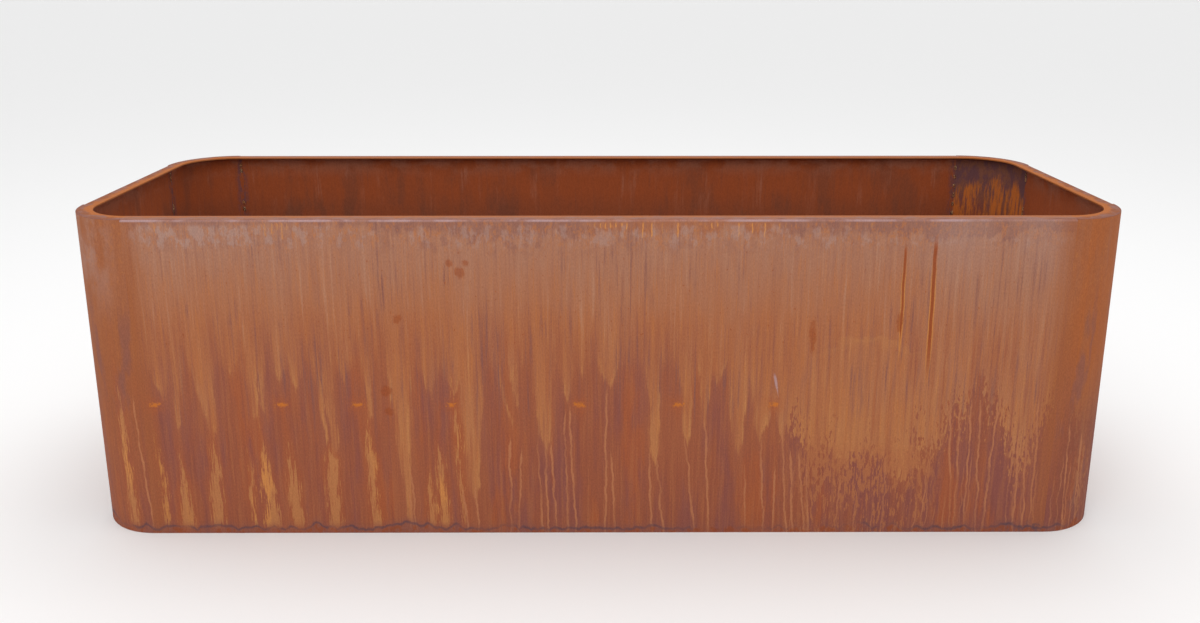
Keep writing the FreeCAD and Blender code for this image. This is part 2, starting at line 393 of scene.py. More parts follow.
@dataclass(frozen=True)
class RainMarks:
    """Where rain has run on a long side: fingers of wash, golden flames, thin runs and blotches."""

    fingers: tuple[Tongue, ...] = hanging(
        (-1.240, 0.42, 0.012, 0.14, -0.06), (-1.205, 0.33, 0.006, 0.04, 0.04),
        (-1.110, 0.30, 0.010, 0.10, -0.06), (-1.040, 0.49, 0.010, 0.40),
        (-0.985, 0.36, 0.006, 0.08, -0.04), (-0.960, 0.38, 0.004, 0.05),
        (-0.905, 0.48, 0.012, 0.30), (-0.862, 0.45, 0.006, 0.09),
        (-0.787, 0.29, 0.004, 0.02, -0.06), (-0.760, 0.22, 0.007, 0.03, -0.05),
        (-0.720, 0.48, 0.015, 0.45), (-0.655, 0.36, 0.004, 0.05),
        (-0.552, 0.02, 0.006, 0.055, -0.03, 0.2), (-0.478, 0.43, 0.004, 0.22, -0.04),
        (-0.415, 0.43, 0.020, 0.50), (-0.365, 0.10, 0.018, 0.045),
        (-0.255, 0.35, 0.003, 0.02, -0.20), (-0.235, 0.40, 0.003, 0.06, -0.06),
        (-0.155, 0.26, 0.015, 0.07, -0.03), (-0.090, 0.42, 0.006, 0.12),
        (-0.045, 0.50, 0.008, 0.30), (0.030, 0.45, 0.006, 0.30),
        (0.160, 0.22, 0.010, 0.028, -0.02), (0.195, 0.56, 0.005, 0.50),
        (0.255, 0.28, 0.009, 0.055, -0.03), (0.303, 0.33, 0.004, 0.08),
        (0.335, 0.46, 0.006, 0.50), (0.400, 0.25, 0.010, 0.09),
        (0.465, 0.29, 0.010, 0.16), (0.530, 0.29, 0.008, 0.22),
        (0.625, 0.25, 0.050, 0.14, 0.0, 1.0), (0.720, 0.22, 0.060, 0.08, 0.0, 1.2),
        (0.810, 0.24, 0.060, 0.08, 0.0, 1.2), (0.880, 0.17, 0.035, 0.06, 0.0, 1.0),
        (0.950, 0.26, 0.040, 0.08, 0.0, 1.0), (0.990, 0.34, 0.030, 0.10),
        (1.040, 0.38, 0.020, 0.40), (1.120, 0.40, 0.010, 0.40),
        (1.215, 0.20, 0.045, 0.14), (1.425, 0.06, 0.012, 0.06, -0.05))
    flames: tuple[Tongue, ...] = falling(
        (-1.212, 0.23, 0.012, 0.03, 0.03), (-1.110, 0.30, 0.010, 0.02, -0.03),
        (-1.015, 0.20, 0.004, 0.01, 0.03), (-0.972, 0.29, 0.010, 0.04, 0.06),
        (-0.895, 0.27, 0.012, 0.02, 0.06), (-0.777, 0.265, 0.015, 0.01, 0.02, 0.5),
        (-0.667, 0.35, 0.010, 0.01, 0.05), (-0.460, 0.27, 0.010, 0.01, 0.02),
        (-0.492, 0.16, 0.003, 0.06, 0.01), (-1.375, 0.42, 0.008, 0.01, 0.02),
        (-1.270, 0.26, 0.005, 0.01, 0.02), (-0.415, 0.405, 0.0028, 0.004, 0.05))
    runs: tuple[Tongue, ...] = falling(*(
        (place, top, 0.0021, 0.0, lean, 0.1) for place, top, lean in (
            (-0.545, 0.20, 0.05), (-0.555, 0.13, 0.10), (-0.395, 0.14, 0.05), (-0.360, 0.15, 0.03),
            (-0.258, 0.30, 0.0), (-0.225, 0.26, -0.05), (-0.178, 0.29, 0.04), (-0.156, 0.30, 0.02),
            (-0.141, 0.29, 0.06), (-0.100, 0.38, 0.02), (-0.086, 0.40, 0.04), (0.021, 0.46, -0.005),
            (0.034, 0.26, 0.05), (0.145, 0.27, 0.04), (0.163, 0.26, 0.10), (0.248, 0.30, 0.10),
            (0.303, 0.36, 0.05), (0.420, 0.22, 0.04), (0.466, 0.31, 0.06), (0.511, 0.20, 0.0),
            (0.524, 0.34, 0.08), (0.552, 0.26, 0.07), (0.575, 0.26, 0.11), (0.600, 0.22, 0.07),
            (0.955, 0.24, -0.05), (1.003, 0.42, 0.075), (1.034, 0.40, 0.028), (1.064, 0.42, 0.025),
            (1.088, 0.42, 0.055), (1.140, 0.40, -0.03), (1.210, 0.30, 0.03), (1.233, 0.28, 0.05),
            (1.256, 0.42, 0.03), (1.358, 0.34, 0.03), (1.405, 0.30, 0.05), (-1.330, 0.42, 0.05))))
    dark_runs: tuple[Tongue, ...] = hanging(
        (0.930, 0.44, 0.0060, 0.0, -0.010, 0.07), (0.846, 0.56, 0.0045, 0.0, -0.006, 0.05))
    blotches: tuple[tuple[float, float, float, float], ...] = (
        (-0.415, 0.825, 0.008, 0.010), (-0.386, 0.798, 0.012, 0.014), (-0.370, 0.826, 0.008, 0.008),
        (-0.566, 0.664, 0.010, 0.012), (0.600, 0.612, 0.009, 0.042), (0.842, 0.655, 0.008, 0.026),
        (-0.605, 0.447, 0.016, 0.014), (-0.600, 0.385, 0.012, 0.012))
    wash_height: float = 0.565
    pool_place: float = 0.76
    pool_half: float = 0.22
    pool_top: float = 0.61
    rusty_place: float = 0.24
    rusty_half: float = 0.34
    fringe_middle: float = -0.28
    fringe_half: float = 0.42
    bloom_left: float = -1.12
    bloom_right: float = 1.0
    bloom_seam: float = 1.22
    tide_foot: float = 0.010
    weld_marks: tuple[float, ...] = (-1.270, -0.906, -0.690, -0.423, -0.056, 0.226, 0.500)
    mark_height: float = 0.406
    scratch: Tongue = Tongue(0.512, 0.425, 0.0045, 0.0, -0.20, 0.10)
    scratch_top: float = 0.505


class WallShader(Shader):
    """Shader whose patterns follow the box's wall: how far along, how high and how deep in."""

    BACK_SHIFT = 0.31
    END_SHIFT = 0.34
    END_TWIST = 0.42
    BACK_CORNER_SHIFT = 0.9

    def __init__(self, name: str, sizes: BoxSizes, side: Side) -> None:
        """Works out the wall's own coordinates.

        `place` is the distance along the wall that the rain marks are set out on. On the front it
        is X, on the corners it goes on round the arc, and the back and the ends use other
        stretches of it, so that they don't repeat the front. `deep` is the distance in from the
        outer skin, measured square to it, and `under` is how far under the top.

        Args:
            name: the material's name.
            sizes: the box's outline.
            side: where the plate stands.
        """
        super().__init__(name)
        self.sizes = sizes
        self.x, self.y, self.z = self.position()
        self.under = sizes.height - self.z
        past_x = (abs(self.x) - sizes.flat_x).at_least(0.0)
        past_y = (abs(self.y) - sizes.flat_y).at_least(0.0)
        self.deep = sizes.corner - self.math("SQRT", past_x * past_x + past_y * past_y)
        if side is Side.FRONT:
            self.place = self.x
        elif side is Side.BACK:
            self.place = self.BACK_SHIFT - self.x
        elif side is Side.END:
            self.place = self.y * self.x.sign() - self.END_SHIFT - self.END_TWIST * self.x.sign()
        else:
            turn = self.math("ARCTAN2", past_x, past_y)
            behind = self.math("GREATER_THAN", self.y, 0.0)
            self.place = self.x.sign() * (sizes.flat_x + turn * sizes.corner
                                          - self.BACK_CORNER_SHIFT * behind)

    def strips(self, pitch: float, seed: float, wander: float,
               curl: float) -> tuple[Value, Value, Value, Value]:
        """Cuts the wall into upright strips, each with one wandering line down it.

        Args:
            pitch: the strips' width.
            seed: shifts the strips and their random numbers.
            wander: how far a line strays sideways.
            curl: how many times per metre of height it strays.

        Returns:
            The distance from the strip's line, and the strip's three random numbers.
        """
        place = (self.place + self.sway(2.0 * wander, 7.0, curl, seed, 2.0)) / pitch + seed * 3.7
        number = place.floor()
        first, second, third = self.dice(number, self.y.sign() + seed)
        away = abs(place - number - (first * 0.5 + 0.25)) * pitch
        return away, first, second, third

    def reach(self, tongues: Sequence[Tongue], place: Value, height: Value) -> Value:
        """How far inside the nearest tongue a point is, in metres, and negative outside them all.

        A tongue's half width is the smaller of base + spread * d and blunt * d, where d is the
        height past its tip. Three tongues share each vector node.

        Args:
            tongues: the tongues.
            place: distance along the wall.
            height: measure of height that grows from the tip into the tongue.

        Returns:
            The largest reach of all the tongues.
        """
        places, heights = self.vector(place, place, place), self.vector(height, height, height)
        best = None
        for first in range(0, len(tongues), 3):
            trio = (list(tongues[first:first + 3]) * 3)[:3]
            past = self.vector_math("SUBTRACT", heights, tuple(t.tip for t in trio))
            middle = self.vector_math("MULTIPLY_ADD", past, tuple(t.lean for t in trio),
                                      tuple(t.place for t in trio))
            away = self.vector_math("ABSOLUTE", self.vector_math("SUBTRACT", places, middle))
            wide = self.vector_math("MULTIPLY_ADD", past, tuple(t.spread for t in trio),
                                    tuple(t.base for t in trio))
            sharp = self.vector_math("MULTIPLY", past, tuple(t.blunt for t in trio))
            inside = self.vector_math("SUBTRACT", self.vector_math("MINIMUM", wide, sharp), away)
            best = inside if best is None else self.vector_math("MAXIMUM", best, inside)
        parts = [Value(self, s) for s in self.node("ShaderNodeSeparateXYZ", {}, {0: best}).outputs]
        return parts[0].at_least(parts[1]).at_least(parts[2])


# --------------------------------------------------------------------------------------------
# Finishes
# --------------------------------------------------------------------------------------------


@dataclass(frozen=True)
class ShellPatina:
    """Rust skin of the shell: a tan wash from the rim over a red-brown ground, with drips."""

    side: Side
    marks: RainMarks = RainMarks()
    ground: Colour = srgb(152, 84, 58)
    ground_purple: Colour = srgb(136, 78, 70)
    ground_bright: Colour = srgb(166, 88, 50)
    ground_dark: Colour = srgb(126, 70, 60)
    halo: Colour = srgb(162, 94, 62)
    stroke_dark: Colour = srgb(132, 84, 76)
    stroke_pale: Colour = srgb(182, 134, 108)
    wash_low: Colour = srgb(174, 107, 68)
    wash_high: Colour = srgb(170, 118, 92)
    wash_bright: Colour = srgb(186, 112, 60)
    drip: Colour = srgb(190, 128, 78)
    run: Colour = srgb(182, 116, 78)
    bloom: Colour = srgb(174, 140, 128)
    fringe: Colour = srgb(136, 86, 74)
    fringe_rust: Colour = srgb(160, 90, 52)
    amber: Colour = srgb(214, 142, 66)
    tide: Colour = srgb(84, 64, 74)
    dark_run: Colour = srgb(150, 70, 28)
    mark: Colour = srgb(206, 118, 34)
    # Pale lilac: painted highlight on the lip's fold, and also the colour of the pale scratch.
    fold_highlight_and_scratch: Colour = srgb(184, 152, 154)
    corner_tone: Colour = srgb(158, 90, 52)
    corner_orange: Colour = srgb(172, 92, 40)
    inner: Colour = srgb(168, 84, 44)
    inner_haze: Colour = srgb(176, 116, 92)
    inner_dark: Colour = srgb(138, 78, 54)
    inner_stain: Colour = srgb(112, 78, 84)
    inner_dull: Colour = srgb(140, 92, 74)
    inner_flame: Colour = srgb(214, 122, 44)
    # Painted shadow: the dark band under the lip on the inner walls.
    lip_shadow: Colour = srgb(70, 40, 30)
    rim: Colour = srgb(158, 106, 84)
    rim_corner: Colour = srgb(148, 84, 50)
    rim_grey: Colour = srgb(150, 114, 108)
    rim_amber: Colour = srgb(182, 104, 46)
    grain_dark: Colour = srgb(100, 100, 100)
    grain_pale: Colour = srgb(170, 170, 170)
    grain_share: float = 0.30
    inner_flame_foot: float = 0.850
    relief: float = 0.0006
    gloss: float = 0.22

    @property
    def long_side(self) -> bool:
        """Whether this is the front or the back panel."""
        return self.side in (Side.FRONT, Side.BACK)

    def ground_layer(self, w: WallShader) -> Socket:
        """Red-brown ground with broad and fine upright streaks, more purple low on the right.

        Args:
            w: the wall's shader.

        Returns:
            The ground's colour.
        """
        broad = w.cloud(13.0, 2.0, 1.0, 5.0)
        purple = broad + 0.12 * w.place.rise(0.2, 1.0) * w.z.rise(0.5, 0.1) + 0.05 * w.z.rise(0.2, 0.5)
        colour = w.mix(purple.rise(0.44, 0.66) * 0.9, self.ground, self.ground_purple)
        glow = w.cloud(16.0, 2.6, 5.0, 4.0)
        colour = w.mix(glow.rise(0.50, 0.66) * 0.75, colour, self.ground_bright)
        fine = w.cloud(120.0, 4.0, 2.0, 4.0, 0.7)
        colour = w.mix(fine.rise(0.44, 0.70) * 0.42, colour, self.wash_low)
        return w.mix(fine.rise(0.48, 0.26) * 0.45, colour, self.ground_dark)

    def wash_reach(self, w: WallShader) -> Value:
        """How far inside the wash a point is, with its ragged and grainy edges.

        Args:
            w: the wall's shader.

        Returns:
            Metres, negative outside the wash.
        """
        fingers = w.reach(self.marks.fingers, w.place + w.sway(0.030, 12.0, 7.0, 17.0), w.z)
        comb = w.sway(1.0, 130.0, 4.0, 3.0, 4.0, 0.65)
        swell = w.cloud(14.0, 0.5, 11.0, 2.0) - 0.4
        upper = (w.z - self.marks.wash_height) * 0.22 - swell * 0.05 + comb * 0.075
        rag = w.sway(0.022, 210.0, 18.0, 9.0, 3.0, 0.65)
        coral = w.sway(0.24, 150.0, 42.0, 33.0, 3.0, 0.5) * w.place.rise(0.50, 0.60) * w.z.rise(0.55, 0.36)
        return (fingers + comb * 0.022).at_least(upper) + rag + coral

    def wash_layer(self, w: WallShader, colour: Socket) -> Socket:
        """Tan wash that covers the upper wall and runs down it in fingers with paler edges.

        Args:
            w: the wall's shader.
            colour: the colour beneath.

        Returns:
            The colour with the wash on it.
        """
        reach = self.wash_reach(w)
        thin = w.cloud(60.0, 2.6, 4.0, 4.0, 0.65)
        even = w.z.rise(0.48, 0.72)
        soft = w.z.rise(0.46, 0.58) * 0.030
        colour = w.mix(reach.rise(-0.045, 0.004) * (0.25 + 0.5 * thin), colour, self.halo)
        cover = reach.rise(-0.006 - soft, 0.010 + soft) * thin.rise(0.22, 0.58).at_least(even * 0.9)
        tone = w.z.rise(0.58, 0.90) + 0.3 * w.place.rise(0.7, 1.1)
        wash = w.mix(tone + w.sway(1.5, 9.0, 3.0, 14.0, 4.0), self.wash_low, self.wash_high)
        wash = w.mix(w.z.rise(0.50, 0.30) * thin.rise(0.35, 0.60) * 0.45, wash, self.drip)
        colour = w.mix(cover * 0.94, colour, wash)
        edge = reach.bump_at(0.0035, 0.006) * w.z.rise(0.62, 0.46) * thin.rise(0.46, 0.60) * 0.6
        colour = w.mix(edge, colour, self.drip)
        grain = w.cloud(240.0, 7.0, 23.0, 4.0, 0.7)
        colour = w.mix(grain.rise(0.50, 0.62) * cover * (0.50 - 0.1 * even), colour, self.wash_bright)
        stroke = w.cloud(110.0, 3.4, 21.0, 5.0, 0.72)
        patch = w.cloud(6.0, 5.0, 22.0, 3.0).rise(0.44, 0.62)
        shade = stroke.rise(0.50, 0.68) * w.z.rise(0.2, 0.5)
        shade = shade * (0.26 + 0.50 * patch + 0.12 * w.z.rise(0.72, 0.5))
        colour = w.mix(shade, colour, self.stroke_dark)
        pits = w.cloud(120.0, 80.0, 26.0, 2.0).rise(0.67, 0.73) * w.z.rise(0.48, 0.60)
        colour = w.mix(pits * 0.5, colour, self.dark_run)
        light = stroke.rise(0.47, 0.32) * cover * (0.60 - 0.10 * even)
        colour = w.mix(light, colour, w.mix(even, self.drip, self.stroke_pale))
        return self.pool_layer(w, colour, thin) if self.side is Side.FRONT else colour

    def pool_layer(self, w: WallShader, colour: Socket, thin: Value) -> Socket:
        """Rounded pool of the wash on the front's right, with worm-like grains under it.

        Args:
            w: the wall's shader.
            colour: what lies beneath.
            thin: the wash's own streaks.

        Returns:
            The colour with the pool on it.
        """
        m = self.marks
        near = w.place - m.pool_place
        brim = m.pool_top - 2.2 * near * near + w.sway(0.10, 26.0, 26.0, 24.0, 4.0, 0.65) - w.z
        pool = brim.rise(-0.004, 0.010) * (0.10 + 0.30 * brim.rise(0.035, 0.0))
        pool = pool * w.place.bump_at(m.pool_place, m.pool_half)
        colour = w.mix(pool * w.z.rise(0.22, 0.30), colour, self.drip)
        zone = (w.place + (thin - 0.5) * 0.1).rise(0.54, 0.62) * w.place.rise(1.02, 0.93)
        worm = w.cloud(190.0, 36.0, 25.0, 3.0, 0.55) + 0.11 * w.z.rise(0.04, 0.26)
        return w.mix(worm.rise(0.555, 0.60) * zone * w.z.rise(0.30, 0.24) * 0.8, colour, self.wash_low)

    def flame_layer(self, w: WallShader, colour: Socket) -> Socket:
        """Golden tongues low on the wall, eaten into by the colour beneath.

        Args:
            w: the wall's shader.
            colour: the colour beneath.

        Returns:
            The colour with the tongues on it.
        """
        reach = w.reach(self.marks.flames, w.place + w.sway(0.03, 14.0, 8.0, 18.0), -1.0 * w.z)
        eaten = w.cloud(250.0, 18.0, 31.0, 4.0, 0.7)
        cover = (reach + 0.003 + (eaten - 0.54) * 0.085).rise(-0.003, 0.006) * w.z.rise(0.005, 0.04)
        glow = w.cloud(18.0, 3.0, 34.0, 3.0).rise(0.46, 0.64)
        colour = w.mix(reach.rise(-0.026, 0.0) * 0.45, colour, self.ground_bright)
        return w.mix(cover * (0.68 + 0.25 * glow), colour, w.mix(glow * 0.45, self.drip, self.amber))

    def run_layer(self, w: WallShader, colour: Socket) -> Socket:
        """Thin runs of water down the lower wall, placed ones and faint ones between them.

        Args:
            w: the wall's shader.
            colour: the colour beneath.

        Returns:
            The colour with the runs on it.
        """
        fade = w.cloud(30.0, 9.0, 42.0)
        placed = w.reach(self.marks.runs, w.place + w.sway(0.020, 16.0, 16.0, 41.0), -1.0 * w.z)
        placed = placed + (fade - 0.5) * 0.003
        away, _, second, third = w.strips(0.026, 2.1, 0.012, 16.0)
        top = 0.08 + 0.22 * second
        zone = w.place.rise(0.50, 0.60).at_least(0.25)
        faint = away.rise(0.0030, 0.0010) * w.z.rise(top, top - 0.05) * third.rise(0.3, 0.5) * zone
        share = placed.rise(-0.0018, 0.0006).at_least(faint * 0.7) * (0.45 + 0.5 * fade.rise(0.36, 0.56))
        return w.mix(share * 0.9, colour, self.run)

    def bloom_layer(self, w: WallShader, colour: Socket) -> Socket:
        """Pale bloom in blobs and brush strokes under the rim.

        Args:
            w: the wall's shader.
            colour: the colour beneath.

        Returns:
            The colour with the bloom on it.
        """
        blob = w.cloud(42.0, 24.0, 51.0, 4.0, 0.6)
        brush = w.cloud(150.0, 16.0, 52.0, 4.0, 0.65)
        m = self.marks
        right = w.place.bump_at(m.bloom_right, 0.16).at_least(w.place.bump_at(m.bloom_seam, 0.16) * 0.8)
        left = w.place.bump_at(m.bloom_left, 0.45)
        mixed = blob * 0.72 + brush * 0.28
        level = w.under.bump_at(0.045, 0.060) * (0.075 + 0.055 * left + 0.07 * right)
        blobs = (mixed + level).rise(0.545, 0.66) * w.under.rise(0.006, 0.024) * w.under.rise(0.100, 0.065)
        blobs = blobs * (0.50 + 0.2 * left) * (1.0 - w.place.rise(0.60, 0.85) * w.under.rise(0.060, 0.035))
        haze = w.under.rise(0.18 + 0.05 * right, 0.02) * (0.10 + 0.34 * right + 0.10 * left)
        return w.mix(blobs.at_least(haze * (0.5 + mixed)), colour, self.bloom)

    def fringe_layer(self, w: WallShader, colour: Socket) -> Socket:
        """Dark ragged band under the rim with rust specks, and short amber drips in it.

        Args:
            w: the wall's shader.
            colour: the colour beneath.

        Returns:
            The colour with the band, the specks and the drips on it.
        """
        rag = w.cloud(120.0, 24.0, 61.0, 4.0, 0.7)
        lump = w.cloud(34.0, 17.0, 64.0, 4.0, 0.65)
        swell = w.cloud(7.0, 1.0, 62.0, 2.0).rise(0.3, 0.7)
        m = self.marks
        middle, right = w.place.bump_at(m.fringe_middle, m.fringe_half), w.place.rise(0.70, 0.90)
        depth = 0.017 + (0.008 + 0.026 * swell) * w.place.rise(-0.66, -0.50) + 0.016 * middle
        depth = depth + 0.012 * right + (rag - 0.5) * 0.06 + (lump - 0.5) * 0.10
        cover = (depth - w.under).rise(-0.010 + 0.006 * right, 0.018 - 0.010 * right)
        rusty = w.place.bump_at(m.rusty_place, m.rusty_half).rise(0.0, 0.3)
        tone = w.mix(rusty, w.mix(lump.rise(0.42, 0.6) * 0.6, self.fringe, self.stroke_dark),
                     self.fringe_rust)
        colour = w.mix(cover * (0.45 + 0.3 * rag.rise(0.4, 0.6)), colour, tone)
        patch = w.cloud(30.0, 20.0, 66.0, 4.0, 0.65).rise(0.50, 0.60) * w.under.bump_at(0.065, 0.055)
        colour = w.mix(patch * (0.25 + 0.35 * middle), colour, self.fringe)
        speck = w.cloud(120.0, 60.0, 65.0, 3.0, 0.65).rise(0.53, 0.63) * w.under.rise(0.13, 0.03)
        colour = w.mix(speck * 0.6, colour, self.wash_bright)
        away, _, second, third = w.strips(0.0145, 5.5, 0.006, 30.0)
        bottom = 0.020 + 0.036 * second * second
        drip = away.rise(0.0030, 0.0008) * (bottom - w.under).rise(-0.003, 0.003) * third.rise(0.42, 0.52)
        drip = drip * rusty.at_least(w.cloud(9.0, 0.0, 63.0, 1.0).rise(0.60, 0.66) * 0.6)
        return w.mix(drip * w.under.rise(0.007, 0.014) * 0.75, colour, self.amber)

    def dark_run_layer(self, w: WallShader, colour: Socket) -> Socket:
        """Two long dark runs with an amber edge, and small red-brown blotches.

        Args:
            w: the wall's shader.
            colour: the colour beneath.

        Returns:
            The colour with the dark runs and the blotches on it.
        """
        reach = w.reach(self.marks.dark_runs, w.place + w.sway(0.008, 5.0, 7.0, 71.0, 2.0), w.z)
        faded = w.cloud(12.0, 7.0, 74.0).rise(0.36, 0.52).at_least(w.place.rise(0.88, 0.90))
        ends = w.z.rise(0.915, 0.860) * w.z.rise(0.44, 0.62) * faded
        edge = reach.bump_at(0.0, 0.003) * w.z.rise(0.86, 0.72)
        colour = w.mix(reach.rise(-0.001, 0.003) * ends * 0.9, colour, self.dark_run)
        colour = w.mix(edge * ends * 0.6, colour, self.amber)
        nearest = None
        for place, height, half_width, half_height in self.marks.blotches:
            over, up = (w.place - place) * (1 / half_width), (w.z - height) * (1 / half_height)
            far = over * over + up * up
            nearest = far if nearest is None else nearest.at_most(far)
        wobble = w.sway(5.0, 95.0, 60.0, 73.0, 4.0, 0.7)
        return w.mix((nearest + wobble).rise(1.9, 0.4) * 0.55, colour, self.dark_run)

    def weld_marks_layer(self, w: WallShader, colour: Socket) -> Socket:
        """Orange marks where the ledger's stitch welds show through, and a pale scratch.

        Args:
            w: the wall's shader.
            colour: the colour beneath.

        Returns:
            The colour with the marks and the scratch on it.
        """
        nearest = None
        for place in self.marks.weld_marks:
            away = abs(w.place - place)
            nearest = away if nearest is None else nearest.at_most(away)
        height = self.marks.mark_height
        blur = w.sway(0.06, 120.0, 120.0, 72.0, 4.0, 0.7)
        level = abs(w.z - height)
        spot = (nearest + blur).rise(0.018, 0.006) * (level + blur * 0.4).rise(0.009, 0.001)
        dust = (nearest + blur).rise(0.045, 0.010) * (level + blur).rise(0.040, 0.005)
        below = w.z.rise(height - 0.16, height) * w.z.rise(height, height - 0.004)
        trail = (nearest + blur * 0.4).rise(0.012, 0.002) * below
        colour = w.mix(dust * 0.35 + trail * 0.25, colour, self.ground_bright)
        colour = w.mix(spot * 0.68, colour, self.mark)
        scratch = w.reach((self.marks.scratch,), w.place + blur * 0.1, w.z).rise(-0.001, 0.003)
        ends = w.z.rise(self.marks.scratch_top, self.marks.scratch_top - 0.02)
        return w.mix(scratch * ends * 0.7, colour, self.fold_highlight_and_scratch)

    def tide_layer(self, w: WallShader, colour: Socket) -> Socket:
        """Blue-black tide line in shallow arcs just above the ground, over a damp dark strip.

        Args:
            w: the wall's shader.
            colour: the colour beneath.

        Returns:
            The colour with the tide line and the damp strip on it.
        """
        arcs = abs(w.cloud(9.0, 0.0, 81.0, 2.0) - 0.5)
        ragged = w.z + w.sway(0.012, 70.0, 60.0, 83.0)
        height = self.marks.tide_foot + 0.15 * arcs
        where = w.cloud(6.0, 0.0, 82.0, 2.0).rise(0.40, 0.54)
        if self.side is Side.FRONT:
            left = w.place.rise(0.25, 0.0) * (0.35 + 0.65 * w.cloud(20.0, 0.0, 85.0, 2.0).rise(0.38, 0.56))
            where = (where * (1.0 - 0.7 * w.place.bump_at(0.5, 0.5))).at_least(left)
            clot = w.cloud(55.0, 50.0, 86.0, 3.0).rise(0.47, 0.56) * w.z.rise(0.045, 0.015)
            colour = w.mix(clot * w.place.bump_at(1.28, 0.16) * 0.8, colour, self.tide)
        line = abs(ragged - height).rise(0.0065, 0.0010) * where
        damp = ragged.rise(height + 0.030, height - 0.010) * (0.15 + 0.35 * where)
        colour = w.mix(damp, colour, self.stroke_dark)
        foot = w.z.rise(height, height - 0.01) * w.cloud(60.0, 30.0, 84.0, 3.0).rise(0.46, 0.58)
        colour = w.mix(foot * 0.6, colour, self.dark_run)
        return w.mix(line * (0.40 + 0.8 * (w.cloud(45.0, 30.0, 87.0, 3.0) - 0.25)), colour, self.tide)

    def corner_layer(self, w: WallShader, colour: Socket) -> Socket:
        """Orange-brown skin of the corners and the ends, with grey-blue stains.

        Args:
            w: the wall's shader.
            colour: the colour beneath.

        Returns:
            The colour with the corners' own skin on it.
        """
        tint = w.cloud(22.0, 1.2, 91.0, 4.0)
        colour = w.mix(w.z.rise(0.0, 0.55) * (0.35 + 0.75 * tint), colour, self.corner_tone)
        glow = w.cloud(34.0, 2.6, 93.0, 4.0, 0.65)
        colour = w.mix(glow.rise(0.52, 0.68) * 0.35, colour, self.fringe_rust)
        haze = w.cloud(20.0, 9.0, 95.0, 4.0, 0.6).rise(0.36, 0.62) * w.z.rise(0.60, 0.90) * 0.5
        seam = w.sizes.flat_x
        colour = w.mix(haze * w.x.rise(-seam - 0.01, -seam - 0.07), colour, self.bloom)
        right = w.x.rise(seam - 0.01, seam + 0.05) * w.cloud(26.0, 2.6, 97.0, 4.0, 0.65).rise(0.30, 0.60)
        colour = w.mix(right * w.z.rise(0.30, 0.60) * 0.6, colour, self.corner_orange)
        colour = w.mix(right * w.z.rise(0.50, 0.25) * 0.6, colour, self.ground_dark)
        speck = w.cloud(90.0, 50.0, 96.0, 4.0, 0.65)
        colour = w.mix(speck.rise(0.54, 0.66) * w.z.rise(0.3, 0.9) * 0.35, colour, self.wash_bright)
        stain = w.cloud(15.0, 3.4, 94.0, 4.0)
        return w.mix(stain.rise(0.54, 0.66) * w.z.rise(0.85, 0.55) * 0.6, colour, self.stroke_dark)

    def outside(self, w: WallShader) -> Socket:
        """Whole colour of the outer skin.

        Args:
            w: the wall's shader.

        Returns:
            The outer skin's colour.
        """
        colour = self.wash_layer(w, self.ground_layer(w))
        if not self.long_side:
            colour = self.corner_layer(w, colour)
        colour = self.run_layer(w, self.flame_layer(w, colour))
        if self.long_side:
            seam = w.sizes.flat_x
            near_seam = abs(w.x).rise(seam - 0.07, seam - 0.002) * (0.25 + 0.9 * w.cloud(30.0, 3.0, 92.0))
            colour = w.mix(near_seam, self.bloom_layer(w, self.fringe_layer(w, colour)), self.corner_tone)
        if self.side is Side.FRONT:
            colour = self.weld_marks_layer(w, self.dark_run_layer(w, colour))
        return self.tide_layer(w, colour)

    def inside(self, w: WallShader) -> Socket:
        """Whole colour of the inner skin: even rust, a haze, a painted shadow line under the lip at the top,
        stained seams.

        Args:
            w: the wall's shader.

        Returns:
            The inner skin's colour.
        """
        broad = w.cloud(10.0, 3.0, 101.0, 4.0)
        colour = w.mix(broad.rise(0.50, 0.66) * 0.6 + w.z.rise(0.82, 0.74) * 0.4, self.inner, self.inner_dark)
        fine = w.cloud(110.0, 6.0, 102.0, 4.0, 0.65)
        colour = w.mix(fine.rise(0.48, 0.72) * 0.5, colour, self.inner_dark)
        dusty = w.cloud(19.0, 3.5, 108.0, 4.0, 0.65)
        colour = w.mix(dusty.rise(0.54, 0.68) * w.z.rise(0.66, 0.86) * fine.rise(0.62, 0.40) * 0.5, colour,
                       self.inner_haze)
        cloud = w.cloud(11.0, 16.0, 103.0, 4.0)
        colour = w.mix(w.z.rise(0.86, 0.94) * cloud.rise(0.38, 0.58) * 0.65, colour, self.inner_haze)
        seam_x, seam_y = abs(abs(w.x) - w.sizes.flat_x), abs(abs(w.y) - w.sizes.flat_y)
        seam = {Side.CORNER: seam_x.at_most(seam_y), Side.END: seam_y}.get(self.side, seam_x)
        blot = w.cloud(70.0, 26.0, 107.0, 4.0, 0.7)
        colour = w.mix(seam.rise(0.030, 0.004) * blot.rise(0.44, 0.58) * 0.75, colour, self.inner_stain)
        if self.side is Side.CORNER:
            right_back = w.math("GREATER_THAN", w.x, 0.0) * w.math("GREATER_THAN", w.y, 0.0)
            comb = w.cloud(75.0, 8.0, 105.0, 4.0, 0.65)
            top = self.inner_flame_foot + w.sway(0.30, 20.0, 2.0, 106.0, 2.0) + 0.16 * (comb - 0.5)
            flame = w.z.rise(top + 0.01, top - 0.02) * comb.rise(0.58, 0.44) * w.z.rise(0.60, 0.78)
            patchy = w.cloud(24.0, 14.0, 109.0, 4.0, 0.65).rise(0.42, 0.58)
            dull = w.mix(patchy, self.inner_stain, self.inner_dull)
            colour = w.mix(right_back * w.z.rise(0.70, 0.84) * 0.9, colour, dull)
            colour = w.mix(right_back * flame * 0.8, colour, self.inner_flame)
        # Painted shadow: a dark band just under the lip on the inner walls.
        return w.mix(w.under.rise(0.020, 0.007) * 0.8, colour, self.lip_shadow)

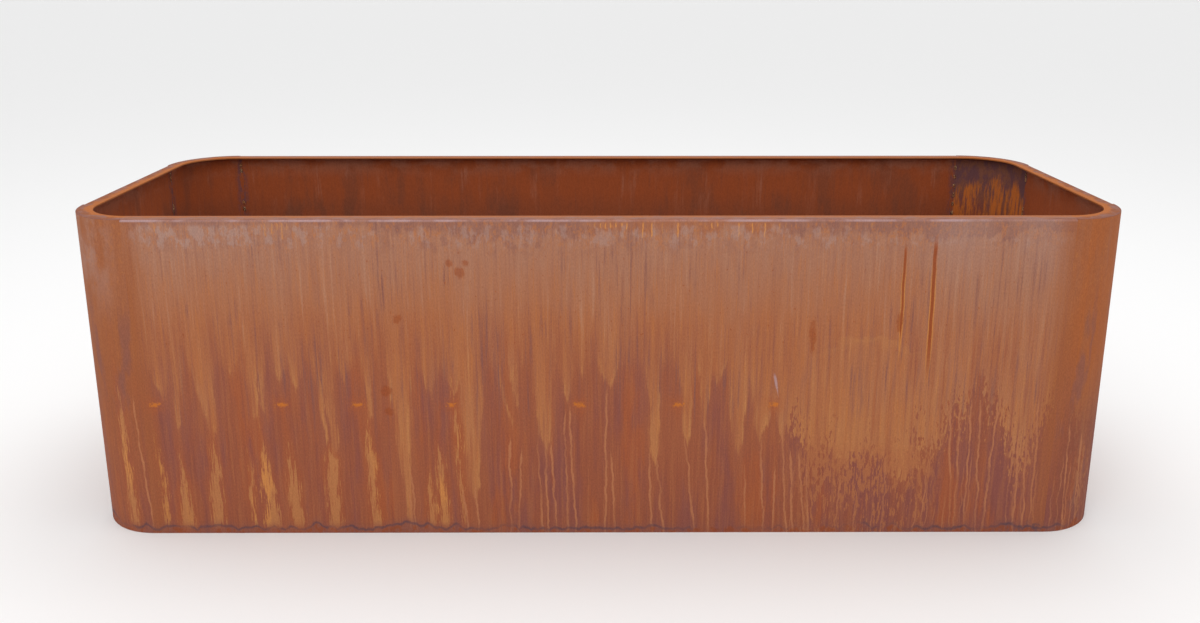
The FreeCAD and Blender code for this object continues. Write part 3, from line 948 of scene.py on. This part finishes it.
    def rim_top(self, w: WallShader) -> Socket:
        """Colour of the lip: tan, mottled grey, grey at its outer edge and amber at its inner edge.

        Args:
            w: the wall's shader.

        Returns:
            The lip's colour.
        """
        mottle = w.cloud(30.0, 0.0, 121.0, 4.0)
        colour = w.mix(mottle.rise(0.42, 0.62) * 0.6, self.rim if self.long_side else self.rim_corner,
                       self.rim_grey)
        wander = w.deep + w.sway(0.05, 22.0, 0.0, 122.0)
        inner = wander.rise(0.020, 0.032) * (0.65 if self.long_side else 0.95)
        colour = w.mix(inner, colour, self.rim_amber)
        return w.mix(wander.rise(0.010, 0.003) * 0.7, colour, self.fringe)

    def material(self, sizes: BoxSizes) -> bpy.types.Material:
        """Builds the material.

        Args:
            sizes: the box's outline.

        Returns:
            The finished material.
        """
        w = WallShader(f"shell_patina_{self.side.value}", sizes, self.side)
        inward = w.deep.rise(0.0015, 0.004) * w.under.rise(0.0035, 0.0055)
        on_top = w.under.rise(0.0022, 0.0006)
        colour = w.mix(inward, self.outside(w), self.inside(w))
        colour = w.mix(on_top, colour, self.rim_top(w))
        lip_edge = w.deep.rise(sizes.lip - 0.002, sizes.lip - 0.0008)
        colour = w.mix(lip_edge * 0.6, colour, self.rim_amber)
        if self.long_side:
            # Painted highlight: a pale lilac line on the fold of the long panels' lip, standing in for the
            # bend's reflection of the sky, patchy along its length.
            bend_highlight = w.under.rise(0.0085, 0.005) * w.deep.rise(0.0055, 0.002)
            highlight_patches = w.cloud(8.0, 3.0, 111.0, 4.0).rise(0.44, 0.60)
            colour = w.mix(bend_highlight * (0.15 + 0.6 * highlight_patches), colour, self.fold_highlight_and_scratch)
        speck = w.cloud(300.0, 150.0, 0.0, 3.0, 0.7)
        grain = w.mix(speck.rise(0.34, 0.66), self.grain_dark, self.grain_pale)
        colour = w.mix(self.grain_share, colour, grain, "OVERLAY")
        scale = w.cloud(95.0, 70.0, 0.0, 5.0, 0.65)
        streak = w.cloud(46.0, 2.0, 4.0, 3.0)
        rough = 0.72 + 0.14 * scale + 0.08 * streak
        normal = w.bump(scale + 0.6 * streak, self.relief, 0.5)
        return w.finish(colour, rough, normal, specular=self.gloss)


@dataclass(frozen=True)
class HiddenRust:
    """Plain dark rust of the structure inside, with patches of mill scale still on it."""

    name: str
    rust: Colour = srgb(116, 58, 34)
    bright: Colour = srgb(150, 80, 38)
    scale: Colour = srgb(70, 58, 58)
    relief: float = 0.0008
    gloss: float = 0.3

    def material(self) -> bpy.types.Material:
        """Builds the material from clouds of rust and islands of mill scale."""
        s = Shader(self.name)
        clouds = s.cloud(9.0, 9.0, 1.0, 5.0)
        pits = s.cloud(130.0, 130.0, 2.0)
        islands = s.cloud(6.0, 6.0, 3.0, 6.0)
        colour = s.mix(clouds.rise(0.4, 0.65), self.rust, self.bright)
        colour = s.mix(islands.rise(0.55, 0.6) * 0.75, colour, self.scale)
        colour = s.mix(pits.rise(0.5, 0.7) * 0.35, colour, self.rust)
        normal = s.bump(clouds + 0.4 * pits, self.relief, 0.5)
        return s.finish(colour, 0.6 + 0.3 * clouds, normal, specular=self.gloss)


@dataclass(frozen=True)
class WeldMetal:
    """Weld bead: dark heat-tinted metal under rust, with pale specks that are partly rubbed bare metal and
    partly a painted highlight.
    """

    name: str
    dark: Colour = srgb(72, 50, 46)
    rust: Colour = srgb(140, 74, 36)
    pale_glint_and_bare: Colour = srgb(206, 170, 120)
    relief: float = 0.0005
    bare: float = 0.3

    def material(self) -> bpy.types.Material:
        """Builds the material from fine spatter noise."""
        s = Shader(self.name)
        cloud = s.cloud(60.0, 60.0, 1.0, 4.0)
        speck = s.cloud(240.0, 240.0, 2.0, 2.0)
        colour = s.mix(cloud.rise(0.4, 0.62), self.dark, self.rust)
        # Pale specks: partly rubbed bare metal, partly a painted highlight of the bead's glint.
        colour = s.mix(speck.rise(0.47, 0.60) * 0.8, colour, self.pale_glint_and_bare)
        return s.finish(colour, 0.42 + 0.3 * cloud, s.bump(speck, self.relief, 0.5), metallic=self.bare)


@dataclass(frozen=True)
class FastenerSteel:
    """Zinc-grey bolt steel with a film of rust on it."""

    name: str
    steel: Colour = srgb(128, 118, 110)
    film: Colour = srgb(140, 84, 48)
    relief: float = 0.0003
    bare: float = 0.6

    def material(self) -> bpy.types.Material:
        """Builds the material from clouds of rust film."""
        s = Shader(self.name)
        cloud = s.cloud(80.0, 80.0, 1.0, 4.0)
        colour = s.mix(cloud.rise(0.42, 0.62) * 0.8, self.steel, self.film)
        return s.finish(colour, 0.4 + 0.35 * cloud, s.bump(cloud, self.relief, 0.4), metallic=self.bare)


# --------------------------------------------------------------------------------------------
# Weld beads
# --------------------------------------------------------------------------------------------


def tube_grid(path: np.ndarray, width_way: np.ndarray, height_way: np.ndarray, half_width: np.ndarray,
              half_height: np.ndarray, sides: int) -> np.ndarray:
    """Points of an oval tube: path + cos(a) * half width * way one + sin(a) * half height * way two.

    Args:
        path: (n, 3) points along the middle.
        width_way: (n, 3) unit vectors along the wall, square to the path.
        height_way: (n, 3) unit vectors out of the wall.
        half_width: (n,) oval half widths.
        half_height: (n,) oval half heights.
        sides: points round the oval.

    Returns:
        (n, sides, 3) points.
    """
    angle = np.linspace(0.0, 2 * np.pi, sides, endpoint=False)
    across = half_width[:, None, None] * np.cos(angle)[None, :, None] * width_way[:, None, :]
    out = half_height[:, None, None] * np.sin(angle)[None, :, None] * height_way[:, None, :]
    return path[:, None, :] + across + out


def closed_tube(grid: np.ndarray) -> Tube:
    """Vertices, quads and end triangles of a tube grid whose two ends meet in points.

    Args:
        grid: (n, sides, 3) points along and round the tube.

    Returns:
        Vertices (v, 3), quads (q, 4) and triangles (t, 3), as indices.
    """
    rows, sides = grid.shape[:2]
    poles = np.stack([grid[0].mean(0), grid[-1].mean(0)])
    inner = grid[1:-1]
    rows = len(inner)
    vertices = np.concatenate([inner.reshape(-1, 3), poles])
    i, j = np.meshgrid(np.arange(rows - 1), np.arange(sides), indexing="ij")
    k = (j + 1) % sides
    quads = np.stack([i * sides + j, i * sides + k, (i + 1) * sides + k, (i + 1) * sides + j], -1)
    ring = np.arange(sides)
    turn = (ring + 1) % sides
    start = np.stack([np.full(sides, rows * sides), turn, ring], -1)
    last = (rows - 1) * sides
    end = np.stack([np.full(sides, rows * sides + 1), last + ring, last + turn], -1)
    return vertices, quads.reshape(-1, 4), np.concatenate([start, end])


def mesh_object(name: str, vertices: np.ndarray, quads: np.ndarray,
                triangles: np.ndarray) -> bpy.types.Object:
    """Makes an object, linked to the scene, with its place in its mesh.

    Args:
        name: the object's name.
        vertices: (v, 3) points.
        quads: (q, 4) indices.
        triangles: (t, 3) indices.

    Returns:
        The object.
    """
    mesh = bpy.data.meshes.new(name)
    mesh.from_pydata(vertices.tolist(), [], quads.tolist() + triangles.tolist())
    made = bpy.data.objects.new(name, mesh)
    bpy.context.scene.collection.objects.link(made)
    return made


def tubes_object(name: str, tubes: Sequence[Tube]) -> bpy.types.Object:
    """One smooth object from closed tubes.

    Args:
        name: the object's name.
        tubes: vertices, quads and triangles of each tube.

    Returns:
        The object.
    """
    offsets = np.cumsum([0] + [len(v) for v, _, _ in tubes])
    vertices = np.concatenate([v for v, _, _ in tubes])
    quads = np.concatenate([q + o for (_, q, _), o in zip(tubes, offsets)])
    triangles = np.concatenate([t + o for (_, _, t), o in zip(tubes, offsets)])
    made = mesh_object(name, vertices, quads, triangles)
    made.data.polygons.foreach_set("use_smooth", np.ones(len(made.data.polygons), bool))
    made.data.update()
    return made


@dataclass
class BeadMaker:
    """Rippled weld beads laid on plates."""

    ripple_pitch: float = 0.0032
    ripple_depth: float = 0.14
    uneven: float = 0.10
    uneven_rate: float = 90.0
    blunt_power: int = 6
    step: float = 0.0011
    fewest: int = 9
    sides: int = 10
    chance: np.random.Generator = field(default_factory=lambda: np.random.default_rng(7))

    def bead(self, path: np.ndarray, out: np.ndarray, width: float, height: float) -> Tube:
        """One bead along a path.

        Its half width is w * sqrt(1 - |u|^6) * (1 - ripple * |sin(pi * s / pitch)|), swollen a little
        by a slow sine, where u goes from -1 to 1 along the bead and s is the distance along it, so
        both ends close in a point.

        Args:
            path: (n, 3) points along the bead's foot.
            out: (n, 3) unit vectors out of the plate.
            width: full width.
            height: how proud it stands.

        Returns:
            Vertices, quads and triangles.
        """
        along = np.gradient(path, axis=0)
        along /= np.linalg.norm(along, axis=1)[:, None]
        across = np.cross(along, out)
        length = np.concatenate([[0.0], np.cumsum(np.linalg.norm(np.diff(path, axis=0), axis=1))])
        share = 2.0 * length / length[-1] - 1.0
        swell = np.sqrt(np.clip(1.0 - np.abs(share) ** self.blunt_power, 0.0, 1.0))
        phase = self.chance.uniform(0.0, np.pi)
        ripple = 1.0 - self.ripple_depth * np.abs(np.sin(np.pi * length / self.ripple_pitch + phase))
        uneven = 1.0 + self.uneven * np.sin(length * self.uneven_rate + phase)
        grid = tube_grid(path, across, out, width / 2 * swell * ripple * uneven,
                         height * swell * ripple, self.sides)
        return closed_tube(grid)

    def straight(self, start: Sequence[float], end: Sequence[float], out: Sequence[float], width: float,
                 height: float) -> Tube:
        """A bead along a straight line.

        Args:
            start: the bead's first end, on the plate.
            end: its other end.
            out: the way out of the plate.
            width: full width.
            height: how proud it stands.

        Returns:
            Vertices, quads and triangles.
        """
        a, b = np.array(start, float), np.array(end, float)
        count = max(self.fewest, int(np.linalg.norm(b - a) / self.step))
        share = np.linspace(0.0, 1.0, count)[:, None]
        way = np.array(out, float)
        way /= np.linalg.norm(way)
        return self.bead(a + (b - a) * share, np.tile(way, (count, 1)), width, height)


@dataclass
class SeamWelds:
    """Beads down the eight upright seams inside the shell: tacks at the back, stitches elsewhere."""

    sizes: BoxSizes
    maker: BeadMaker
    stitch: float = 0.035
    pitch: float = 0.12
    width: float = 0.0095
    height: float = 0.003
    tack: float = 0.016
    clear: float = 0.014
    jitter: float = 0.02
    left_tacks: tuple[float, ...] = (0.915, 0.896, 0.776, 0.752, 0.640, 0.616, 0.500, 0.478)
    right_tack_top: float = 0.905
    right_tack_pitch: float = 0.034
    above_floor: float = 0.03

    def seam_places(self) -> dict[str, tuple[tuple[float, float], tuple[float, float]]]:
        """Foot point and inward way of each seam, by its name.

        Returns:
            The seam's name to its foot (x, y) and its way (x, y).
        """
        s = self.sizes
        inner_x, inner_y = s.half_length - s.plate, s.half_width - s.plate
        places = {}
        for x_name, x in (("left", -1), ("right", 1)):
            for y_name, y in (("front", -1), ("back", 1)):
                places[f"seam_weld_{y_name}_{x_name}"] = ((x * s.flat_x, y * inner_y), (0, -y))
                places[f"seam_weld_{x_name}_end_{y_name}"] = ((x * inner_x, y * s.flat_y), (-x, 0))
        return places

    def heights(self, name: str) -> list[tuple[float, float]]:
        """(low, high) of each bead on a seam.

        Args:
            name: the seam's name.

        Returns:
            The beads' ends, in metres above the ground.
        """
        top = self.sizes.height - self.sizes.plate - self.clear
        if name == "seam_weld_back_left":
            tacks = self.left_tacks
        elif name == "seam_weld_back_right":
            tacks = np.arange(self.right_tack_top, self.sizes.floor_top + self.above_floor,
                              -self.right_tack_pitch)
        else:
            count = int((top - self.clear) / self.pitch)
            tops = top - self.pitch * np.arange(count) - self.maker.chance.uniform(0.0, self.jitter, count)
            return [(z - self.stitch, z) for z in tops]
        return [(z - self.tack / 2, z + self.tack / 2) for z in tacks]

    def build(self) -> list[bpy.types.Object]:
        """One object for each seam.

        Returns:
            The objects, in the order they were made.
        """
        made = []
        for name, (foot, way) in self.seam_places().items():
            tubes = [self.maker.straight((*foot, low), (*foot, high), (*way, 0.0), self.width, self.height)
                     for low, high in self.heights(name)]
            made.append(tubes_object(name, tubes))
        return made


@dataclass
class StitchWelds:
    """Short beads that hold the ledgers, the brace lugs and the base strips to the shell."""

    maker: BeadMaker
    width: float = 0.006
    height: float = 0.003
    stitch: float = 0.030
    lug_clear: float = 0.004
    long_places: tuple[float, ...] = (
        -1.270, -0.906, -0.690, -0.423, -0.056, 0.226, 0.500, 0.760, 1.020, 1.270)
    end_places: tuple[float, ...] = (-0.27, 0.0, 0.27)

    def run(self, middle: Sequence[float], along: Sequence[float], out: Sequence[float],
            length: float) -> Tube:
        """One bead about a middle point.

        Args:
            middle: the point on the plate.
            along: unit vector along the bead.
            out: the way out of the plate.
            length: the bead's length.

        Returns:
            Vertices, quads and triangles.
        """
        half = np.array(along, float) * length / 2
        at = np.array(middle, float)
        return self.maker.straight(at - half, at + half, out, self.width, self.height)

    def line(self, plate: str, label: str, wall: str, up: int) -> bpy.types.Object:
        """Stitches along one edge of a plate, where it meets the wall.

        Args:
            plate: the CAD plate.
            label: the new object's name.
            wall: front, back, left or right.
            up: 1 for the plate's upper edge and -1 for its lower one.

        Returns:
            The object that holds them all.
        """
        low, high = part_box(plate)
        sign = 1 if wall in ("back", "right") else -1
        outer, level = high if sign > 0 else low, high.z if up > 0 else low.z
        if wall in ("front", "back"):
            tubes = [self.run((x, outer.y, level), (1, 0, 0), (0, -sign, up), self.stitch)
                     for x in self.long_places]
        else:
            tubes = [self.run((outer.x, y, level), (0, 1, 0), (-sign, 0, up), self.stitch)
                     for y in self.end_places]
        return tubes_object(label, tubes)

    def lug(self, name: str, sign: int) -> bpy.types.Object:
        """An upright bead on both faces of a brace lug, where it meets its wall.

        Args:
            name: the lug's wall and half, as in front_left.
            sign: -1 at the front wall and 1 at the back one.

        Returns:
            The object that holds both beads.
        """
        low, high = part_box(f"brace_lug_{name}")
        wall = high.y if sign > 0 else low.y
        middle, length = (low.z + high.z) / 2, high.z - low.z - 2 * self.lug_clear
        return tubes_object(f"lug_weld_{name}", [
            self.run((x, wall, middle), (0, 0, 1), (way, -sign, 0), length)
            for x, way in ((low.x, -1), (high.x, 1))])

    def build(self) -> list[bpy.types.Object]:
        """Every stitch weld, an object for each plate.

        Returns:
            The objects, in the order they were made.
        """
        made = [self.line(f"floor_ledger_{wall}", f"ledger_weld_{wall}", wall, -1)
                for wall in ("front", "back", "left", "right")]
        made += [self.lug(f"{wall}_{half}", sign) for wall, sign in (("front", -1), ("back", 1))
                 for half in ("left", "right")]
        made += [self.line(f"base_strip_{wall}", f"base_weld_{wall}", wall, 1) for wall in ("front", "back")]
        return made


# --------------------------------------------------------------------------------------------
# Studio
# --------------------------------------------------------------------------------------------


@dataclass
class Studio:
    """Plain pale floor, soft lights and the camera."""

    eye: tuple[float, float, float] = (-0.0059, -3.2693, 1.6165)
    pitch: float = 0.2428
    yaw: float = 0.0029
    lens: float = 31.29
    sensor: float = 36.0
    rise_shift: float = -0.071
    floor_half: float = 90.0
    floor_tone: Colour = (0.90, 0.90, 0.90)
    rings: int = 12
    spokes: int = 96
    sky: float = 0.93
    lamp_size: float = 4.0
    lamp_aim: tuple[float, float, float] = (0.0, 0.0, 0.5)

    def floor(self) -> None:
        """A large pale disc: radius times cosine and sine on rings that widen with the square."""
        radius = self.floor_half * np.linspace(0.0, 1.0, self.rings + 1)[1:] ** 2
        angle = np.linspace(0.0, 2 * np.pi, self.spokes, endpoint=False)
        x = radius[:, None] * np.cos(angle)
        y = radius[:, None] * np.sin(angle)
        points = np.stack([x, y, np.zeros_like(x)], -1).reshape(-1, 3)
        points = np.concatenate([points, np.zeros((1, 3))])
        i, j = np.meshgrid(np.arange(self.rings - 1), np.arange(self.spokes), indexing="ij")
        k = (j + 1) % self.spokes
        inner, outer = i * self.spokes, (i + 1) * self.spokes
        quads = np.stack([inner + j, outer + j, outer + k, inner + k], -1).reshape(-1, 4)
        ring = np.arange(self.spokes)
        fan = np.stack([np.full(self.spokes, len(points) - 1), ring, (ring + 1) % self.spokes], -1)
        made = mesh_object("studio_floor", points, quads, fan)
        made.data.materials.append(Shader("studio_floor").finish(self.floor_tone, 0.9, specular=0.1))
        made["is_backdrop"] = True

    def light(self, name: str, place: tuple[float, float, float], power: float) -> None:
        """A square soft light of so many watts that faces the middle of the box.

        Args:
            name: the light's name.
            place: where it stands.
            power: its power in watts.
        """
        lamp = bpy.data.lights.new(name, "AREA")
        lamp.shape = "SQUARE"
        lamp.size = self.lamp_size
        lamp.energy = power
        made = bpy.data.objects.new(name, lamp)
        made.location = place
        made.rotation_euler = (Vector(self.lamp_aim) - Vector(place)).to_track_quat("-Z", "Y").to_euler()
        bpy.context.scene.collection.objects.link(made)

    def lights(self) -> None:
        """Even sky light, a soft key from the front left and a weaker light from above the back."""
        world = bpy.data.worlds.new("studio")
        world.use_nodes = True
        back = world.node_tree.nodes["Background"]
        back.inputs["Color"].default_value = (1.0, 1.0, 1.0, 1.0)
        back.inputs["Strength"].default_value = self.sky
        bpy.context.scene.world = world
        self.light("key", (-1.5, -5.0, 5.5), 90.0)
        self.light("top", (0.5, 1.0, 6.0), 70.0)

    def camera(self) -> None:
        """Eye-level camera in front of the box, tipped down a little."""
        data = bpy.data.cameras.new("eye")
        data.sensor_width = self.sensor
        data.lens = self.lens
        data.shift_y = self.rise_shift
        made = bpy.data.objects.new("eye", data)
        made.location = self.eye
        made.rotation_euler = (math.pi / 2 - self.pitch, 0.0, -self.yaw)
        bpy.context.scene.collection.objects.link(made)
        bpy.context.scene.camera = made

    def build(self) -> None:
        """Floor, lights and camera, with plain display colours."""
        self.floor()
        self.lights()
        self.camera()
        bpy.context.scene.view_settings.view_transform = "Standard"


# --------------------------------------------------------------------------------------------
# Dressing
# --------------------------------------------------------------------------------------------


@dataclass
class Dresser:
    """Puts each CAD node in its finish."""

    nodes: dict[str, bpy.types.Object]
    sizes: BoxSizes

    def dress(self, name: str, material: bpy.types.Material) -> None:
        """Gives one node a material in place of what it came with.

        Args:
            name: the node.
            material: its finish.
        """
        slots = self.nodes[name].data.materials
        slots.clear()
        slots.append(material)
        LOG.info("dressed %s in %s", name, material.name)

    def shell(self) -> None:
        """Panels, corners and rims."""
        by_side = {side: ShellPatina(side).material(self.sizes) for side in Side}
        for name in self.nodes:
            if name.startswith("corner_"):
                self.dress(name, by_side[Side.CORNER])
            elif name.endswith("_end_panel"):
                self.dress(name, by_side[Side.END])
            elif name.endswith("_panel"):
                self.dress(name, by_side[Side(name.split("_")[0])])

    def inner_works(self) -> None:
        """Floor, ledgers, bearers, base strips, braces and their fasteners."""
        rust = HiddenRust("inner_rust").material()
        steel = FastenerSteel("fastener_steel").material()
        for name in self.nodes:
            if name in ("brace_bolts", "brace_washers", "brace_nuts"):
                self.dress(name, steel)
            elif name.startswith(("floor_", "base_", "brace_", "cross_")):
                self.dress(name, rust)


def main() -> None:
    """Builds the studio, dresses the frame and lays the welds."""
    logging.basicConfig(level=logging.INFO)
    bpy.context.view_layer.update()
    sizes = BoxSizes.from_frame()
    Studio().build()
    dresser = Dresser(frame["nodes"], sizes)
    dresser.shell()
    dresser.inner_works()
    weld = WeldMetal("weld_metal").material()
    maker = BeadMaker()
    for piece in SeamWelds(sizes, maker).build() + StitchWelds(maker).build():
        piece.data.materials.append(weld)
        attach(piece, "root")
        LOG.info("made %s", piece.name)


if __name__ == "__main__":
    main()
